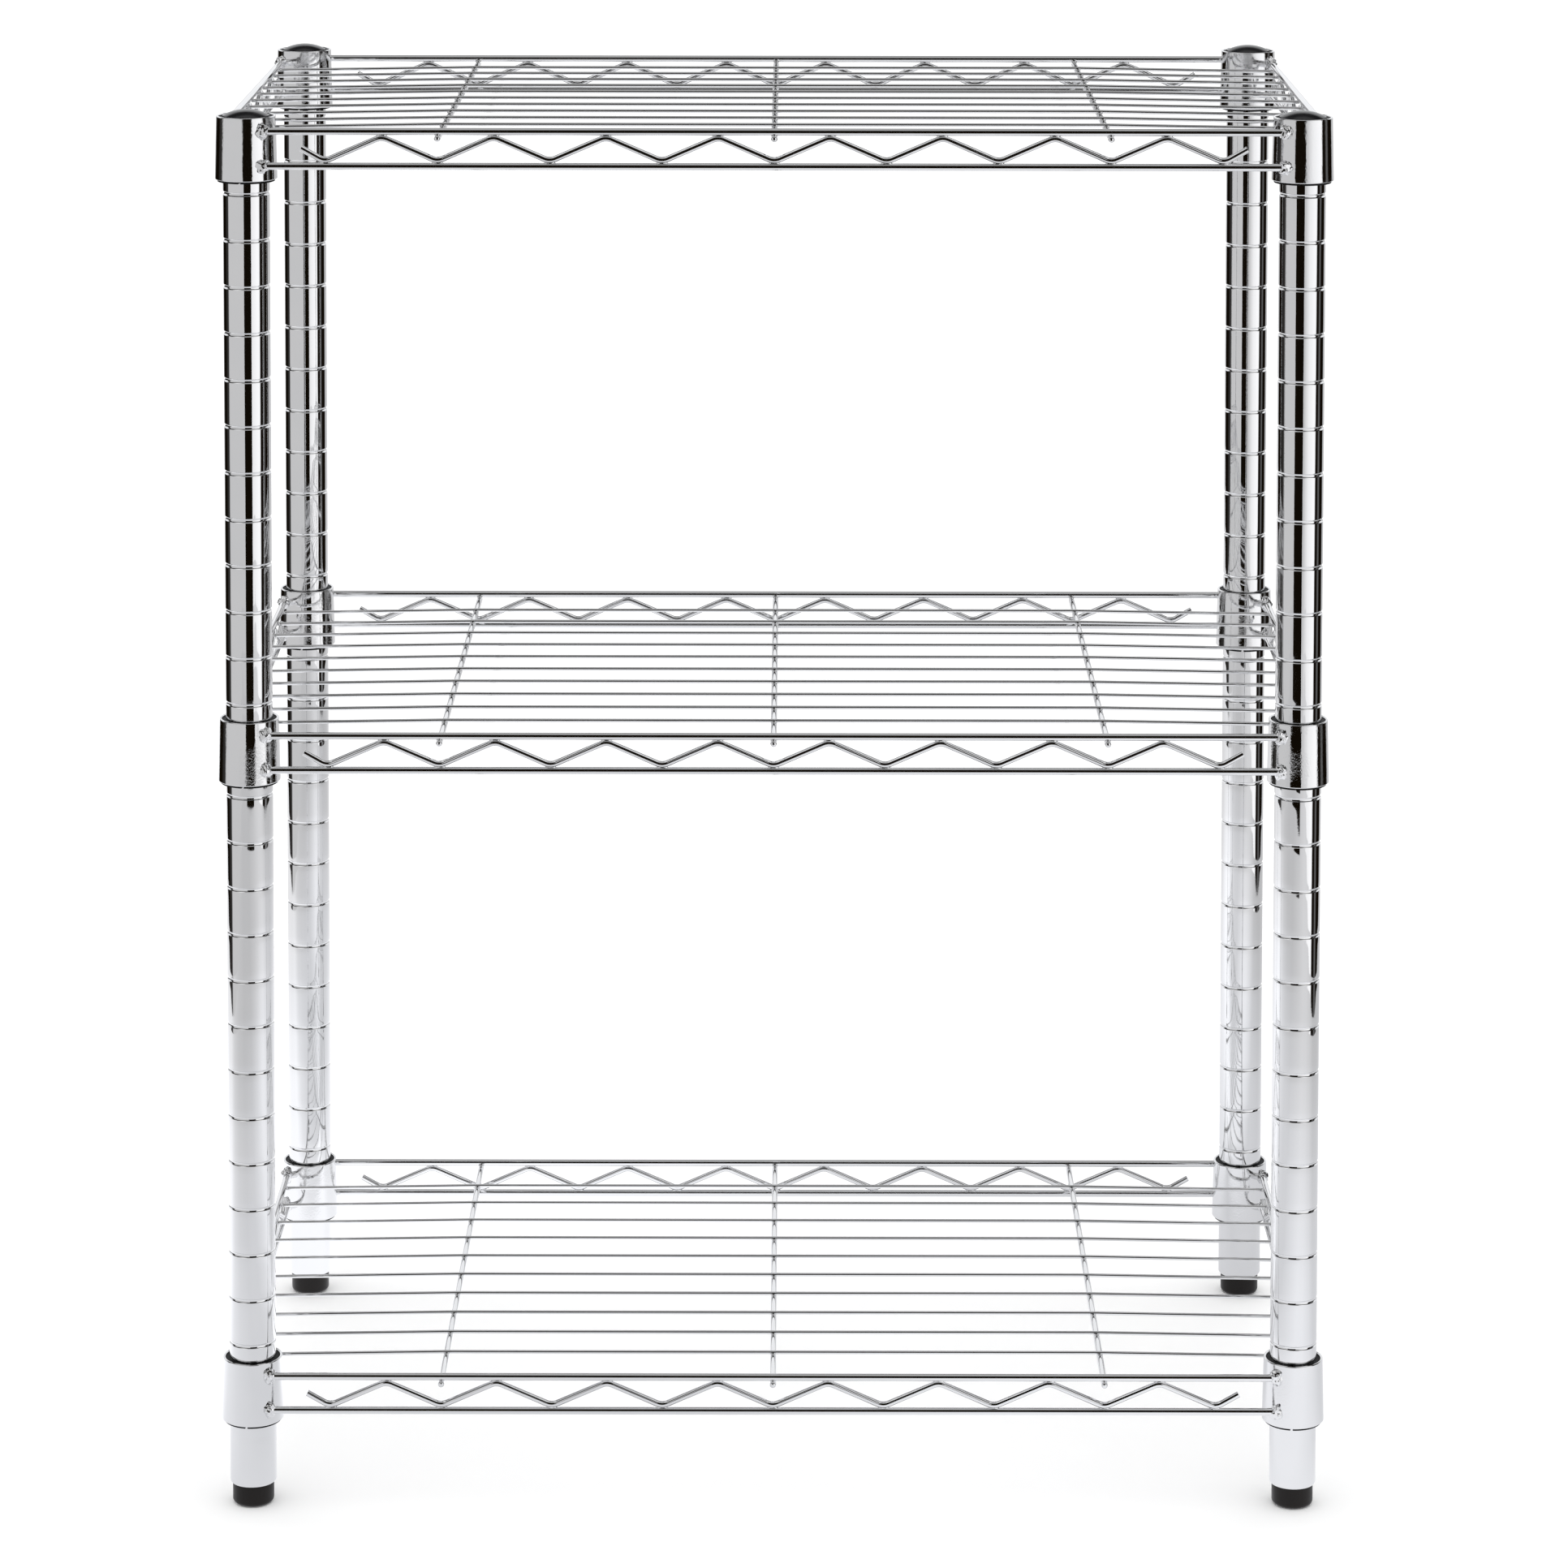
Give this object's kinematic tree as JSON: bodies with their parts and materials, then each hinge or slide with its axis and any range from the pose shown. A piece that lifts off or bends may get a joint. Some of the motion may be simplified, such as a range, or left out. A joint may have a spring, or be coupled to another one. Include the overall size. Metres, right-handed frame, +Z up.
{
  "type": "wire shelving unit",
  "caption": "Free-standing chrome wire shelving unit: welded wire shelves wedged on tapered sleeves on grooved tubular posts with screw feet.",
  "frame": {"origin": "on the floor, at the centre of the rectangle of posts", "axes": "+Z up, the front faces -Y, +X to the right seen from the front"},
  "size_m": [0.6058, 0.3558, 0.771],
  "materials": {
    "chrome_tube": "polished chrome plate on rolled steel tube",
    "chrome_collar": "chrome plate over slightly rough pressed steel",
    "chrome_wire": "chrome plate on drawn steel wire",
    "cap_plastic": "black, smooth and glossy",
    "sleeve_plastic": "black, fine moulded grain",
    "insert_plastic": "black, plain moulded",
    "foot_plastic": "black, fine moulded grain, scuffed under the edge",
    "zinc_stud": "zinc-plated thread"
  },
  "bodies": {
    "posts": {"post_front_left": "chrome_tube", "post_cap_front_left": "cap_plastic", "foot_insert_front_left": "insert_plastic", "post_front_right": "chrome_tube", "post_cap_front_right": "cap_plastic", "foot_insert_front_right": "insert_plastic", "post_back_left": "chrome_tube", "post_cap_back_left": "cap_plastic", "foot_insert_back_left": "insert_plastic", "post_back_right": "chrome_tube", "post_cap_back_right": "cap_plastic", "foot_insert_back_right": "insert_plastic", "bottom_sleeve_halves_front_left": "sleeve_plastic", "bottom_sleeve_halves_front_right": "sleeve_plastic", "bottom_sleeve_halves_back_left": "sleeve_plastic", "bottom_sleeve_halves_back_right": "sleeve_plastic", "middle_sleeve_halves_front_left": "sleeve_plastic", "middle_sleeve_halves_front_right": "sleeve_plastic", "middle_sleeve_halves_back_left": "sleeve_plastic", "middle_sleeve_halves_back_right": "sleeve_plastic", "top_sleeve_halves_front_left": "sleeve_plastic", "top_sleeve_halves_front_right": "sleeve_plastic", "top_sleeve_halves_back_left": "sleeve_plastic", "top_sleeve_halves_back_right": "sleeve_plastic"},
    "bottom_shelf": {"bottom_collar_front_left": "chrome_collar", "bottom_collar_front_right": "chrome_collar", "bottom_collar_back_left": "chrome_collar", "bottom_collar_back_right": "chrome_collar", "bottom_frame_rods": "chrome_wire", "bottom_long_trusses": "chrome_wire", "bottom_side_trusses": "chrome_wire", "bottom_cross_ribs": "chrome_wire", "bottom_deck_wires": "chrome_wire"},
    "middle_shelf": {"middle_collar_front_left": "chrome_collar", "middle_collar_front_right": "chrome_collar", "middle_collar_back_left": "chrome_collar", "middle_collar_back_right": "chrome_collar", "middle_frame_rods": "chrome_wire", "middle_long_trusses": "chrome_wire", "middle_side_trusses": "chrome_wire", "middle_cross_ribs": "chrome_wire", "middle_deck_wires": "chrome_wire"},
    "top_shelf": {"top_collar_front_left": "chrome_collar", "top_collar_front_right": "chrome_collar", "top_collar_back_left": "chrome_collar", "top_collar_back_right": "chrome_collar", "top_frame_rods": "chrome_wire", "top_long_trusses": "chrome_wire", "top_side_trusses": "chrome_wire", "top_cross_ribs": "chrome_wire", "top_deck_wires": "chrome_wire"},
    "front_left_foot_stud": {"foot_stud_front_left": "zinc_stud"},
    "front_left_foot_pad": {"foot_pad_front_left": "foot_plastic"},
    "front_right_foot_stud": {"foot_stud_front_right": "zinc_stud"},
    "front_right_foot_pad": {"foot_pad_front_right": "foot_plastic"},
    "back_left_foot_stud": {"foot_stud_back_left": "zinc_stud"},
    "back_left_foot_pad": {"foot_pad_back_left": "foot_plastic"},
    "back_right_foot_stud": {"foot_stud_back_right": "zinc_stud"},
    "back_right_foot_pad": {"foot_pad_back_right": "foot_plastic"}
  },
  "joints": [
    {"name": "bottom_shelf_lift", "type": "slide", "parent": "posts", "child": "bottom_shelf", "axis": [0, 0, 1], "range_m": [0, 0.319]},
    {"name": "middle_shelf_lift", "type": "slide", "parent": "posts", "child": "middle_shelf", "axis": [0, 0, 1], "range_m": [0, 0.294]},
    {"name": "top_shelf_lift", "type": "slide", "parent": "posts", "child": "top_shelf", "axis": [0, 0, 1], "range_m": [0, 0.06]},
    {"name": "front_left_foot_extend", "type": "slide", "parent": "posts", "child": "front_left_foot_stud", "axis": [0, 0, -1], "range_m": [0, 0.015]},
    {"name": "front_left_foot_turn", "type": "hinge", "parent": "front_left_foot_stud", "child": "front_left_foot_pad", "pos_m": [-0.286, -0.161, 0.006], "axis": [0, 0, -1], "range_deg": [0, 3600]},
    {"name": "front_right_foot_extend", "type": "slide", "parent": "posts", "child": "front_right_foot_stud", "axis": [0, 0, -1], "range_m": [0, 0.015]},
    {"name": "front_right_foot_turn", "type": "hinge", "parent": "front_right_foot_stud", "child": "front_right_foot_pad", "pos_m": [0.286, -0.161, 0.006], "axis": [0, 0, -1], "range_deg": [0, 3600]},
    {"name": "back_left_foot_extend", "type": "slide", "parent": "posts", "child": "back_left_foot_stud", "axis": [0, 0, -1], "range_m": [0, 0.015]},
    {"name": "back_left_foot_turn", "type": "hinge", "parent": "back_left_foot_stud", "child": "back_left_foot_pad", "pos_m": [-0.286, 0.161, 0.006], "axis": [0, 0, -1], "range_deg": [0, 3600]},
    {"name": "back_right_foot_extend", "type": "slide", "parent": "posts", "child": "back_right_foot_stud", "axis": [0, 0, -1], "range_m": [0, 0.015]},
    {"name": "back_right_foot_turn", "type": "hinge", "parent": "back_right_foot_stud", "child": "back_right_foot_pad", "pos_m": [0.286, 0.161, 0.006], "axis": [0, 0, -1], "range_deg": [0, 3600]}
  ],
  "couplings": [
    {"joint": "front_left_foot_extend", "follows": "front_left_foot_turn", "m_per_rad": 0.00023873},
    {"joint": "front_right_foot_extend", "follows": "front_right_foot_turn", "m_per_rad": 0.00023873},
    {"joint": "back_left_foot_extend", "follows": "back_left_foot_turn", "m_per_rad": 0.00023873},
    {"joint": "back_right_foot_extend", "follows": "back_right_foot_turn", "m_per_rad": 0.00023873}
  ]
}
